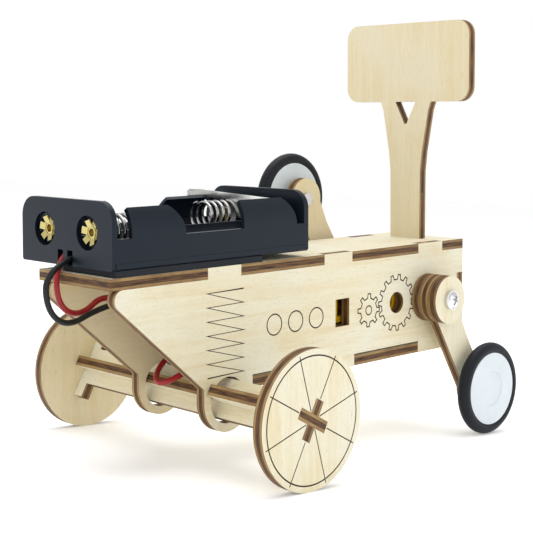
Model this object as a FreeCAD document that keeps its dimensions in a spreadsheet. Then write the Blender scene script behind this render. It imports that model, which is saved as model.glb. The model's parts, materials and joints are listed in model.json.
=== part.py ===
import FreeCAD, Part
import math
import os
import Sketcher
from FreeCAD import Placement, Rotation, Vector

doc = FreeCAD.newDocument("RobotCarKit")

# Driving dimensions, all in millimetres and degrees.
# X runs forward from the arm drive shaft, Y to the left, Z up, in the body's own level frame.
dimensions = [
    ("plyThickness", 2.5),
    ("bodyWidth", 25.0),
    ("deckRear", -103.0),
    ("bodyFront", 16.0),
    ("deckTop", 14.0),
    ("floorTop", -11.6),
    ("earNotchTop", -11.25),
    ("panelBottom", -14.2),
    ("tabLength", 10.0),
    ("tabRearStart", -76.3),
    ("tabMiddleStart", -38.8),
    ("tabFrontStart", -3.0),
    ("earLength", 25.0),
    ("earRearStart", -62.8),
    ("earFrontStart", -28.0),
    ("frontEarLow", -4.6),
    ("frontEarHigh", 5.1),
    ("engraveDepth", 0.15),
    ("engraveWidth", 0.32),
    ("axleX", -70.4),
    ("axleZ", -15.8),
    ("axleHoleRadius", 5.2),
    ("hookRadius", 7.1),
    ("pegHoleX", -11.8),
    ("pegHoleZ", -0.3),
    ("pegHoleRadius", 2.7),
    ("shaftHoleRadius", 3.2),
    ("windowRear", -34.9),
    ("windowLength", 5.0),
    ("windowLow", -3.9),
    ("windowHeight", 6.7),
    ("mastX", 7.0),
    ("mastFootHalf", 4.9),
    ("headWidth", 41.0),
    ("headLow", 50.6),
    ("headHeight", 21.0),
    ("headCorner", 3.8),
    ("rearWheelRadius", 14.9),
    ("rightWheelFace", 38.0),
    ("leftWheelFace", 40.4),
    ("axleTurn", 151.0),
    ("keyHalf", 4.5),
    ("broadHalf", 6.8),
    ("flangeHalf", 8.0),
    ("discRadius", 6.1),
    ("stackGap", 0.4),
    ("armReach", 29.15),
    ("armAngle", -58.3),
    ("rollerRadius", 12.0),
    ("tyreSection", 1.65),
    ("rollerHubRadius", 9.4),
    ("rollerPlane", 21.3),
    ("shaftRadius", 2.7),
    ("shaftFlat", 1.85),
    ("shaftLength", 36.6),
    ("gearboxHeight", 22.4),
    ("gearboxWidth", 18.8),
    ("gearboxFront", 11.0),
    ("gearboxRear", -26.0),
    ("gearboxWall", 1.4),
    ("gearModule", 0.4),
    ("canLength", 25.0),
    ("canWidth", 20.0),
    ("canThickness", 15.1),
    ("holderLength", 58.0),
    ("holderWidth", 32.0),
    ("holderHeight", 14.2),
    ("holderRear", -102.5),
    ("holderRight", -12.5),
    ("tapeThickness", 1.4),
    ("tapeLength", 42.0),
    ("tapeWidth", 18.0),
    ("bayRadius", 7.15),
    ("springWire", 0.85),
    ("wireDiameter", 1.3),
    ("screwRadius", 2.5),
]

sheet = doc.addObject("Spreadsheet::Sheet", "Dimensions")
value = {}
for row, (alias, number) in enumerate(dimensions, start=1):
    sheet.set("A%d" % row, alias)
    sheet.set("B%d" % row, str(number))
    sheet.setAlias("B%d" % row, alias)
    value[alias] = number
doc.recompute()


def dim(name):
    return value[name]


ply = dim("plyThickness")
halfBody = dim("bodyWidth") / 2
panelInner = halfBody - ply
deckUnder = dim("deckTop") - ply
floorUnder = dim("floorTop") - ply

# The kit stands on two rear wheels and the right roller, so the level body is pitched nose-up.
rollerX = dim("armReach") * math.cos(math.radians(dim("armAngle")))
rollerZ = dim("armReach") * math.sin(math.radians(dim("armAngle")))
axleToRollerX = rollerX - dim("axleX")
axleToRollerZ = rollerZ - dim("axleZ")
centreDistance = math.hypot(axleToRollerX, axleToRollerZ)
centreSlope = math.degrees(math.atan2(axleToRollerZ, axleToRollerX))
radiusSlope = math.degrees(math.asin((dim("rearWheelRadius") - dim("rollerRadius")) / centreDistance))
pitch = centreSlope + radiusSlope
stanceTurn = Rotation(Vector(0, 1, 0), pitch)
axleTurned = stanceTurn.multVec(Vector(dim("axleX"), 0, dim("axleZ")))
stanceShift = Vector(37.6515, -1.2, dim("rearWheelRadius") - axleTurned.z)
stance = Placement(stanceShift, stanceTurn)

made = []


def place(item, at=None, turn=None):
    local = Placement(at or Vector(), turn or Rotation())
    item.Placement = stance.multiply(local)


def bind(item, prop, expression):
    item.setExpression(prop, expression)


def newBody(name):
    body = doc.addObject("PartDesign::Body", name)
    body.Label = name
    made.append(body)
    return body


def originPlane(body, role):
    for feature in body.Origin.OriginFeatures:
        if feature.Role == role:
            return feature
    raise RuntimeError("no plane " + role)


def circle(x, y, radius, expression=None):
    return ("circle", x, y, radius, expression)


def polygon(points):
    return ("polygon", points)


def path(parts):
    return ("path", parts)


def rectangle(x0, y0, x1, y1):
    return polygon([(x0, y0), (x1, y0), (x1, y1), (x0, y1)])


def addSketch(body, name, plane, loops, offset=0.0, sizes=None):
    sketch = body.newObject("Sketcher::SketchObject", body.Name + "_" + name)
    sketch.AttachmentSupport = [(originPlane(body, plane), "")]
    sketch.MapMode = "FlatFace"
    sketch.AttachmentOffset = Placement(Vector(0, 0, offset), Rotation())
    for loop in loops:
        if loop[0] == "circle":
            centre = Vector(loop[1], loop[2], 0)
            index = sketch.addGeometry(Part.Circle(centre, Vector(0, 0, 1), loop[3]), False)
            rule = sketch.addConstraint(Sketcher.Constraint("Radius", index, loop[3]))
            if loop[4]:
                sketch.setExpression("Constraints[%d]" % rule, loop[4])
            continue
        if loop[0] == "polygon":
            points = loop[1]
            parts = []
            for index, start in enumerate(points):
                end = points[(index + 1) % len(points)]
                parts.append(("line", start, end))
        else:
            parts = loop[1]
        first = None
        previous = None
        rules = []
        for part in parts:
            if part[0] == "line":
                curve = Part.LineSegment(Vector(*part[1], 0), Vector(*part[2], 0))
                ends = (1, 2)
            else:
                start, middle, stop = part[1:4]
                across = (middle[0] - start[0]) * (stop[1] - middle[1])
                across -= (middle[1] - start[1]) * (stop[0] - middle[0])
                ends = (1, 2)
                if across < 0:
                    start, stop = stop, start
                    ends = (2, 1)
                curve = Part.Arc(Vector(*start, 0), Vector(*middle, 0), Vector(*stop, 0))
            index = sketch.addGeometry(curve, False)
            if previous is not None:
                rules.append(Sketcher.Constraint("Coincident", previous[0], previous[1], index, ends[0]))
            if first is None:
                first = (index, ends[0])
            previous = (index, ends[1])
        rules.append(Sketcher.Constraint("Coincident", previous[0], previous[1], first[0], first[1]))
        sketch.addConstraint(rules)
    for geometry, direction, size, expression in sizes or []:
        rule = sketch.addConstraint(Sketcher.Constraint(direction, geometry, 1, geometry, 2, size))
        sketch.setExpression("Constraints[%d]" % rule, expression)
    return sketch


def addPad(body, name, sketch, expression, reverse=False):
    pad = body.newObject("PartDesign::Pad", body.Name + "_" + name)
    pad.Profile = sketch
    pad.Reversed = reverse
    bind(pad, "Length", expression)
    doc.recompute()
    body.Tip = pad
    if pad.Shape.isNull() or "Invalid" in pad.State:
        raise RuntimeError("pad failed: " + pad.Name)
    return pad


def addPocket(body, name, sketch, expression, reverse=False):
    before = body.Tip.Shape.Volume
    pocket = body.newObject("PartDesign::Pocket", body.Name + "_" + name)
    pocket.Profile = sketch
    pocket.Reversed = reverse
    bind(pocket, "Length", expression)
    doc.recompute()
    body.Tip = pocket
    if pocket.Shape.Volume > before - 1e-4:
        raise RuntimeError("pocket cut nothing: " + pocket.Name)
    return pocket


def flatPiece(name, plane, loops, expression="Dimensions.plyThickness", reverse=False, sizes=None):
    body = newBody(name)
    sketch = addSketch(body, "Outline", plane, loops, 0.0, sizes)
    addPad(body, "Sheet", sketch, expression, reverse)
    return body


def solidPiece(name, shape):
    item = doc.addObject("Part::Feature", name)
    item.Label = name
    item.Shape = shape
    made.append(item)
    return item


def polar(centreX, centreY, radius, angle):
    turned = math.radians(angle)
    return (centreX + radius * math.cos(turned), centreY + radius * math.sin(turned))


def band(points, width, closed=False):
    # Closed outline of a line of even width along the given points.
    left = []
    right = []
    count = len(points)
    for index, point in enumerate(points):
        before = points[index - 1] if (index > 0 or closed) else None
        after = points[(index + 1) % count] if (index < count - 1 or closed) else None
        directions = []
        if before is not None:
            directions.append((point[0] - before[0], point[1] - before[1]))
        if after is not None:
            directions.append((after[0] - point[0], after[1] - point[1]))
        units = [(dx / math.hypot(dx, dy), dy / math.hypot(dx, dy)) for dx, dy in directions]
        nx = -sum(u[1] for u in units)
        ny = sum(u[0] for u in units)
        size = math.hypot(nx, ny)
        nx = nx / size
        ny = ny / size
        cosine = abs(nx * -units[0][1] + ny * units[0][0])
        reach = width / 2 / max(cosine, 0.25)
        left.append((point[0] + nx * reach, point[1] + ny * reach))
        right.append((point[0] - nx * reach, point[1] - ny * reach))
    return left, right


def toothedOutline(centreX, centreY, teeth, rootRadius, tipRadius, rootShare, tipShare, phase=0.0):
    # Straight-sided teeth: shares are the fractions of the tooth step taken by the tooth.
    step = 360.0 / teeth
    points = []
    for tooth in range(teeth):
        middle = phase + tooth * step
        points.append(polar(centreX, centreY, rootRadius, middle - step * rootShare / 2))
        points.append(polar(centreX, centreY, tipRadius, middle - step * tipShare / 2))
        points.append(polar(centreX, centreY, tipRadius, middle + step * tipShare / 2))
        points.append(polar(centreX, centreY, rootRadius, middle + step * rootShare / 2))
    return points


# ---- side panels ----
cornerRadius = 2.2
cornerX = -99.8
cornerZ = deckUnder - cornerRadius
diagonalSlope = -0.849
diagonalAngle = math.degrees(math.atan(diagonalSlope))
touchX = cornerX + cornerRadius * math.cos(math.radians(diagonalAngle - 90))
touchZ = cornerZ + cornerRadius * math.sin(math.radians(diagonalAngle - 90))
axleX = dim("axleX")
axleZ = dim("axleZ")
hookRadius = dim("hookRadius")
holeRadius = dim("axleHoleRadius")
hookLeftX = axleX - hookRadius
hookLeftZ = touchZ + diagonalSlope * (hookLeftX - touchX)
lipZ = dim("panelBottom")
lipAngle = math.degrees(math.asin((lipZ - axleZ) / hookRadius))
lip = polar(axleX, axleZ, hookRadius, lipAngle)
tabStarts = [dim("tabRearStart"), dim("tabMiddleStart"), dim("tabFrontStart")]
earStarts = [dim("earRearStart"), dim("earFrontStart")]
front = dim("bodyFront")


def panelOutline():
    parts = []

    def line(start, end):
        parts.append(("line", start, end))

    here = (cornerX, deckUnder)
    for start in tabStarts:
        end = start + dim("tabLength")
        for there in [(start, deckUnder), (start, dim("deckTop")), (end, dim("deckTop")), (end, deckUnder)]:
            line(here, there)
            here = there
    corners = [
        (front, deckUnder),
        (front, dim("frontEarHigh")),
        (front - ply, dim("frontEarHigh")),
        (front - ply, dim("frontEarLow")),
        (front, dim("frontEarLow")),
        (front, lipZ),
    ]
    for start in reversed(earStarts):
        end = start + dim("earLength")
        corners += [(end, lipZ), (end, dim("earNotchTop")), (start, dim("earNotchTop")), (start, lipZ)]
    corners.append(lip)
    for there in corners:
        line(here, there)
        here = there
    ringLow = polar(axleX, axleZ, hookRadius, (lipAngle - 180) / 2)
    ringLeft = polar(axleX, axleZ, hookRadius, 180)
    parts.append(("arc", lip, ringLow, ringLeft))
    line(ringLeft, (hookLeftX, hookLeftZ))
    line((hookLeftX, hookLeftZ), (touchX, touchZ))
    bend = polar(cornerX, cornerZ, cornerRadius, 180)
    parts.append(("arc", (touchX, touchZ), bend, (cornerX, deckUnder)))
    return path(parts)


windowRear = dim("windowRear")
windowFront = windowRear + dim("windowLength")
windowLow = dim("windowLow")
windowHigh = windowLow + dim("windowHeight")
pegX = dim("pegHoleX")
pegZ = dim("pegHoleZ")
lineWidth = dim("engraveWidth")

zigzag = []
zigTop = 8.6
zigStep = 3.1
zigRight = -65.6
zigLeft = -76.5
for turn in range(7):
    zigzag.append((zigRight, zigTop - turn * zigStep))
    zigzag.append((zigLeft, zigTop - 0.2 - turn * zigStep))
zigLeftSide, zigRightSide = band(zigzag, lineWidth)
zigzagLoop = polygon(zigLeftSide + list(reversed(zigRightSide)))

smallGearX = -22.6
smallGearZ = -1.1
smallGear = toothedOutline(smallGearX, smallGearZ, 8, 3.05, 4.1, 0.5, 0.3, -3.0)
largeGear = toothedOutline(pegX, pegZ, 15, 5.9, 7.1, 0.5, 0.3, -15.0)


def engrave(body, offset, reverse):
    dotRings = []
    for dotX in (-55.8, -48.75, -41.7):
        dotRings.append(circle(dotX, -0.75, 2.4 + lineWidth / 2))
        dotRings.append(circle(dotX, -0.75, 2.4 - lineWidth / 2))
    sketch = addSketch(body, "DotRings", "XZ_Plane", dotRings, offset)
    addPocket(body, "DotRingLines", sketch, "Dimensions.engraveDepth", reverse)
    sketch = addSketch(body, "Zigzag", "XZ_Plane", [zigzagLoop], offset)
    addPocket(body, "ZigzagLine", sketch, "Dimensions.engraveDepth", reverse)
    gearLoops = []
    for outline in (smallGear, largeGear):
        outer, inner = band(outline, lineWidth, True)
        gearLoops += [polygon(outer), polygon(inner)]
    gearLoops.append(circle(smallGearX, smallGearZ, 1.1 + lineWidth / 2))
    gearLoops.append(circle(smallGearX, smallGearZ, 1.1 - lineWidth / 2))
    sketch = addSketch(body, "Gears", "XZ_Plane", gearLoops, offset)
    addPocket(body, "GearLines", sketch, "Dimensions.engraveDepth", reverse)


for name, side in (("right_side_panel", -1), ("left_side_panel", 1)):
    loops = [
        panelOutline(),
        rectangle(windowRear, windowLow, windowFront, windowHigh),
        circle(axleX, axleZ, holeRadius, "Dimensions.axleHoleRadius"),
        circle(pegX, pegZ, dim("pegHoleRadius"), "Dimensions.pegHoleRadius"),
        circle(0, 0, dim("shaftHoleRadius"), "Dimensions.shaftHoleRadius"),
    ]
    panel = flatPiece(name, "XZ_Plane", loops)
    if side < 0:
        engrave(panel, ply, False)
        place(panel, Vector(0, -panelInner, 0))
    else:
        engrave(panel, 0.0, True)
        place(panel, Vector(0, halfBody, 0))

# ---- top deck ----
deckRear = dim("deckRear")
deckPoints = [(deckRear, -halfBody)]
for start in tabStarts:
    end = start + dim("tabLength")
    deckPoints += [(start, -halfBody), (start, -panelInner), (end, -panelInner), (end, -halfBody)]
deckPoints += [(front, -halfBody), (front, halfBody)]
for start in reversed(tabStarts):
    end = start + dim("tabLength")
    deckPoints += [(end, halfBody), (end, panelInner), (start, panelInner), (start, halfBody)]
deckPoints.append((deckRear, halfBody))
mastX = dim("mastX")
foot = dim("mastFootHalf")
mastSlot = rectangle(mastX, -foot, mastX + ply, foot)
deck = flatPiece("top_deck", "XY_Plane", [polygon(deckPoints), mastSlot])
place(deck, Vector(0, 0, deckUnder))

# ---- bottom plate and front plate ----
floorRear = dim("earRearStart")
floorFront = front - ply
floorPoints = []
for start in earStarts:
    end = start + dim("earLength")
    floorPoints += [(start, -halfBody), (end, -halfBody)]
    if end < floorFront:
        floorPoints.append((end, -panelInner))
    if start == earStarts[0]:
        floorPoints.append((earStarts[1], -panelInner))
floorPoints += [(floorFront, -panelInner), (floorFront, panelInner)]
for start in reversed(earStarts):
    end = start + dim("earLength")
    floorPoints += [(end, panelInner), (end, halfBody), (start, halfBody)]
    if start != earStarts[0]:
        floorPoints.append((start, panelInner))
floor = flatPiece("bottom_plate", "XY_Plane", [polygon(floorPoints)])
place(floor, Vector(0, 0, floorUnder))

earLow = dim("frontEarLow")
earHigh = dim("frontEarHigh")
frontPoints = [
    (-panelInner, floorUnder),
    (panelInner, floorUnder),
    (panelInner, earLow),
    (halfBody, earLow),
    (halfBody, earHigh),
    (panelInner, earHigh),
    (panelInner, deckUnder),
    (-panelInner, deckUnder),
    (-panelInner, earHigh),
    (-halfBody, earHigh),
    (-halfBody, earLow),
    (-panelInner, earLow),
]
frontPlate = flatPiece("front_plate", "YZ_Plane", [polygon(frontPoints)])
place(frontPlate, Vector(front - ply, 0, 0))

# ---- mast board: foot in the deck slot, curved neck, rounded head ----
headHalf = dim("headWidth") / 2
headLow = dim("headLow")
headHigh = headLow + dim("headHeight")
headCorner = dim("headCorner")
diagonalShare = headCorner * (1 - math.sqrt(0.5))
neckSide = [(4.9, 14.0), (5.0, 32.0), (5.6, 37.5), (6.6, 43.0), (7.6, 48.4), (8.4, headLow)]
mastParts = []
mastHere = (-foot, deckUnder)
for there in [(foot, deckUnder)] + neckSide + [(headHalf - headCorner, headLow)]:
    mastParts.append(("line", mastHere, there))
    mastHere = there
headTurns = [
    ((headHalf - diagonalShare, headLow + diagonalShare), (headHalf, headLow + headCorner)),
    ((headHalf, headHigh - headCorner), None),
    ((headHalf - diagonalShare, headHigh - diagonalShare), (headHalf - headCorner, headHigh)),
    ((-headHalf + headCorner, headHigh), None),
    ((-headHalf + diagonalShare, headHigh - diagonalShare), (-headHalf, headHigh - headCorner)),
    ((-headHalf, headLow + headCorner), None),
    ((-headHalf + diagonalShare, headLow + diagonalShare), (-headHalf + headCorner, headLow)),
]
for through, there in headTurns:
    if there is None:
        mastParts.append(("line", mastHere, through))
        mastHere = through
    else:
        mastParts.append(("arc", mastHere, through, there))
        mastHere = there
for sideways, height in reversed(neckSide):
    mastParts.append(("line", mastHere, (-sideways, height)))
    mastHere = (-sideways, height)
mastParts.append(("line", mastHere, (-foot, deckUnder)))
vee = polygon([(-3.4, headLow), (3.4, headLow), (0.35, headLow - 5.9), (-0.35, headLow - 5.9)])
mast = flatPiece("mast_board", "YZ_Plane", [path(mastParts), vee])
place(mast, Vector(mastX, 0, 0))

# ---- rear wheels and the two-strip axle ----
key = dim("keyHalf")
slit = ply / 2
crossSize = key + 0.02
slitSize = slit + 0.02
crossPoints = []
for quarter in range(4):
    for localX, localY in ((crossSize, -slitSize), (crossSize, slitSize), (slitSize, slitSize)):
        turned = math.radians(90 * quarter + dim("axleTurn"))
        crossPoints.append(
            (
                localX * math.cos(turned) - localY * math.sin(turned),
                localX * math.sin(turned) + localY * math.cos(turned),
            )
        )
rightFace = dim("rightWheelFace")
leftFace = dim("leftWheelFace")
for name, side in (("rear_wheel_right", -1), ("rear_wheel_left", 1)):
    rim = circle(0, 0, dim("rearWheelRadius"), "Dimensions.rearWheelRadius")
    wheel = flatPiece(name, "XZ_Plane", [rim, polygon(crossPoints)])
    offset = ply if side < 0 else 0.0
    reverse = side > 0
    rings = [circle(0, 0, 13.5 + lineWidth / 2), circle(0, 0, 13.5 - lineWidth / 2)]
    sketch = addSketch(wheel, "Ring", "XZ_Plane", rings, offset)
    addPocket(wheel, "RingLine", sketch, "Dimensions.engraveDepth", reverse)
    spokes = []
    for spoke in range(8):
        angle = dim("axleTurn") + 45 * spoke
        inner = 4.75 if spoke % 2 == 0 else 2.05
        outer = 14.35
        corners = []
        for along, across in ((inner, -1), (outer, -1), (outer, 1), (inner, 1)):
            alongX, alongZ = polar(0, 0, along, angle)
            sideX, sideZ = polar(0, 0, across * lineWidth * 0.4, angle + 90)
            corners.append((alongX + sideX, alongZ + sideZ))
        spokes.append(polygon(corners))
    sketch = addSketch(wheel, "Spokes", "XZ_Plane", spokes, offset)
    addPocket(wheel, "SpokeLines", sketch, "Dimensions.engraveDepth", reverse)
    if side < 0:
        place(wheel, Vector(axleX, -rightFace + ply, axleZ))
    else:
        place(wheel, Vector(axleX, leftFace, axleZ))

broad = dim("broadHalf")
flange = dim("flangeHalf")
slotHalf = slit + 0.01
broadInner = -halfBody - 0.35
broadOuter = -rightFace + ply
flangeOuter = leftFace - ply
flangeInner = flangeOuter - 2.8
# The broad strip is slotted from its left end to the middle, the key strip from its right end.
broadSide = [
    (key, broadInner),
    (broad, broadInner),
    (broad, broadOuter),
    (key, broadOuter),
    (key, -rightFace),
]
broadPoints = [(-slotHalf, 0), (slotHalf, 0), (slotHalf, leftFace), (key, leftFace)]
broadPoints += broadSide
broadPoints += [(-x, y) for x, y in reversed(broadSide)]
broadPoints += [(-key, leftFace), (-slotHalf, leftFace)]
keySide = [
    (key, -rightFace),
    (key, flangeInner),
    (flange, flangeInner),
    (flange, flangeOuter),
    (key, flangeOuter),
    (key, leftFace),
]
keyPoints = [(slotHalf, 0.01), (slotHalf, -rightFace)]
keyPoints += keySide
keyPoints += [(-x, y) for x, y in reversed(keySide)]
keyPoints += [(-slotHalf, -rightFace), (-slotHalf, 0.01)]
for name, points, extra in (("axle_strip_broad", broadPoints, 0), ("axle_strip_key", keyPoints, -90)):
    strip = newBody(name)
    sketch = addSketch(strip, "Outline", "XY_Plane", [polygon(points)], -slit)
    addPad(strip, "Sheet", sketch, "Dimensions.plyThickness")
    place(strip, Vector(axleX, 0, axleZ), Rotation(Vector(0, 1, 0), -(dim("axleTurn") + extra)))

# ---- arms: inner disc, arm, outer disc on each end of the motor shaft ----
gap = dim("stackGap")
discRadius = dim("discRadius")
shaftRadius = dim("shaftRadius")
flat = dim("shaftFlat")
armAngle = dim("armAngle")
armReach = dim("armReach")
boreAngle = math.degrees(math.asin(flat / shaftRadius))


def doubleFlat(radius, half, turn):
    # Round bore with two flats, the flats square to the arm's direction.
    span = math.sqrt(radius * radius - half * half)
    cosine = math.cos(math.radians(turn))
    sine = math.sin(math.radians(turn))

    def at(x, y):
        return (x * cosine - y * sine, x * sine + y * cosine)

    return path(
        [
            ("line", at(-span, -half), at(span, -half)),
            ("arc", at(span, -half), at(radius, 0), at(span, half)),
            ("line", at(span, half), at(-span, half)),
            ("arc", at(-span, half), at(-radius, 0), at(-span, -half)),
        ]
    )


fitPlay = 0.02
bore = doubleFlat(shaftRadius + fitPlay, flat + fitPlay, armAngle)
screwBore = 1.6
stackInner = halfBody + gap
armInner = stackInner + ply
armOuter = armInner + ply
stackOuter = armOuter + ply
pinRadius = 1.0
endRadius = 5.5
waistHalf = 3.4
backHalf = 4.6


def armOutline(side):
    # Local u runs along the arm, v square to it on the waisted edge.
    pointing = armAngle if side < 0 else armAngle + 180
    across = armAngle + 90

    def at(u, v):
        alongX, alongZ = polar(0, 0, u, pointing)
        acrossX, acrossZ = polar(0, 0, v, across)
        return (alongX + acrossX, alongZ + acrossZ)

    def onCircle(centre, radius, angle):
        return at(centre + radius * math.cos(math.radians(angle)), radius * math.sin(math.radians(angle)))

    backStart = math.degrees(math.asin(-backHalf / discRadius))
    backEnd = math.degrees(math.asin(-backHalf / endRadius))
    hubStop = 58.0
    endStop = 130.0
    hubLow = onCircle(0, discRadius, backStart)
    hubHigh = onCircle(0, discRadius, hubStop)
    endHigh = onCircle(armReach, endRadius, endStop)
    endLow = onCircle(armReach, endRadius, 180 - backEnd)
    waistFrom = (10.5, waistHalf + 0.45)
    waistTo = (19.5, waistHalf)
    return path(
        [
            ("line", hubLow, endLow),
            ("arc", endLow, onCircle(armReach, endRadius, 0), endHigh),
            ("line", endHigh, at(*waistTo)),
            ("line", at(*waistTo), at(14.5, waistHalf + 0.1)),
            ("line", at(14.5, waistHalf + 0.1), at(*waistFrom)),
            ("line", at(*waistFrom), at(6.6, waistHalf + 1.0)),
            ("line", at(6.6, waistHalf + 1.0), hubHigh),
            ("arc", hubHigh, onCircle(0, discRadius, 180 + (backStart + hubStop) / 2), hubLow),
        ]
    )


for name, side, inner, isArm in (
    ("right_arm_spacer", -1, stackInner, False),
    ("right_arm", -1, armInner, True),
    ("right_arm_cover", -1, armOuter, False),
    ("left_arm_spacer", 1, stackInner, False),
    ("left_arm", 1, armInner, True),
    ("left_arm_cover", 1, armOuter, False),
):
    pointing = armAngle if side < 0 else armAngle + 180
    if isArm:
        pinX, pinZ = polar(0, 0, armReach, pointing)
        loops = [armOutline(side), bore, circle(pinX, pinZ, pinRadius + 0.08)]
    elif name.endswith("cover"):
        rim = circle(0, 0, discRadius, "Dimensions.discRadius")
        loops = [rim, circle(0, 0, screwBore)]
    else:
        loops = [circle(0, 0, discRadius, "Dimensions.discRadius"), bore]
    piece = flatPiece(name, "XZ_Plane", loops)
    if side < 0:
        place(piece, Vector(0, -inner, 0))
    else:
        place(piece, Vector(0, inner + ply, 0))

# Output shaft, double-D ended, bored for the two arm screws.
shaftHalf = armOuter - 0.05
shaft = newBody("output_shaft")
sketch = addSketch(shaft, "Round", "XZ_Plane", [doubleFlat(shaftRadius, flat, armAngle)], -shaftHalf)
addPad(shaft, "Rod", sketch, "2 * %s mm" % round(shaftHalf, 4))
pilot = [circle(0, 0, 0.85)]
sketch = addSketch(shaft, "RightPilot", "XZ_Plane", pilot, shaftHalf)
addPocket(shaft, "RightPilotHole", sketch, "8.2 mm")
sketch = addSketch(shaft, "LeftPilot", "XZ_Plane", pilot, -shaftHalf)
addPocket(shaft, "LeftPilotHole", sketch, "8.2 mm", True)
place(shaft)

# Two identical pan-head screws clamp the arm stacks.
headRadius = dim("screwRadius")
screws = []
for side in (-1, 1):
    outward = Vector(0, side, 0)
    base = Vector(0, side * stackOuter, 0)
    headPan = Part.makeCylinder(headRadius, 0.9, base, outward)
    dome = Part.makeSphere(3.1, base - outward * 1.35)
    dome = dome.common(Part.makeCylinder(headRadius, 3.0, base + outward * 0.8, outward))
    shank = Part.makeCylinder(0.85, 9.6, base, outward * -1)
    screw = headPan.fuse([dome, shank])
    for turn in (0, 90):
        slot = Part.makeBox(2.4, 1.6, 0.5, Vector(-1.2, -0.8, -0.25))
        slot.rotate(Vector(), Vector(0, 1, 0), turn + 20)
        slot.translate(base + outward * 1.7)
        screw = screw.cut(slot)
    screws.append(screw.removeSplitter())
item = solidPiece("arm_screws", Part.makeCompound(screws))
place(item)

# ---- rollers: grooved hub, round-section tyre and pin on each arm end ----
rollerPlane = dim("rollerPlane")
section = dim("tyreSection")
tyreCentre = dim("rollerRadius") - section
hubRadius = dim("rollerHubRadius")
hubHalf = 1.45
bossReach = rollerPlane - hubHalf - (armOuter + 0.3)
for side, word in ((-1, "right"), (1, "left")):
    pointing = armAngle if side < 0 else armAngle + 180
    centreX, centreZ = polar(0, 0, armReach, pointing)
    centre = Vector(centreX, side * rollerPlane, centreZ)

    def turnedBody(name, profile):
        body = newBody(name)
        sketch = addSketch(body, "Profile", "XY_Plane", profile)
        revolution = body.newObject("PartDesign::Revolution", name + "_Turn")
        revolution.Profile = sketch
        revolution.ReferenceAxis = (originPlane(body, "Y_Axis"), [""])
        revolution.Angle = 360
        doc.recompute()
        body.Tip = revolution
        flip = Rotation(Vector(1, 0, 0), 180) if side < 0 else Rotation()
        place(body, centre, flip)
        return body

    # Profile x is the radius, y points outward from the body.
    seat = section + 0.01
    lipHalf = math.sqrt(seat * seat - (tyreCentre - hubRadius) ** 2)
    hubPoints = [
        (hubRadius, lipHalf),
        (hubRadius, hubHalf),
        (4.6, hubHalf),
        (4.4, hubHalf - 0.25),
        (0, hubHalf - 0.25),
        (0, 0.4),
        (pinRadius, 0.4),
        (pinRadius, -hubHalf - bossReach),
        (2.6, -hubHalf - bossReach),
        (2.6, -hubHalf),
        (hubRadius, -hubHalf),
        (hubRadius, -lipHalf),
    ]
    hubParts = [("line", a, b) for a, b in zip(hubPoints, hubPoints[1:])]
    hubParts.append(("arc", hubPoints[-1], (tyreCentre - seat, 0), hubPoints[0]))
    turnedBody(word + "_roller_hub", [path(hubParts)])
    tyreProfile = [circle(tyreCentre, 0, section, "Dimensions.tyreSection")]
    turnedBody(word + "_roller_tyre", tyreProfile)
    pinStart = -(rollerPlane - armInner) - 0.05
    pinProfile = [
        (0, pinStart - 0.7),
        (1.7, pinStart - 0.7),
        (1.7, pinStart),
        (pinRadius, pinStart),
        (pinRadius, 0.4),
        (0, 0.4),
    ]
    turnedBody(word + "_roller_pin", [polygon(pinProfile)])

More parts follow.
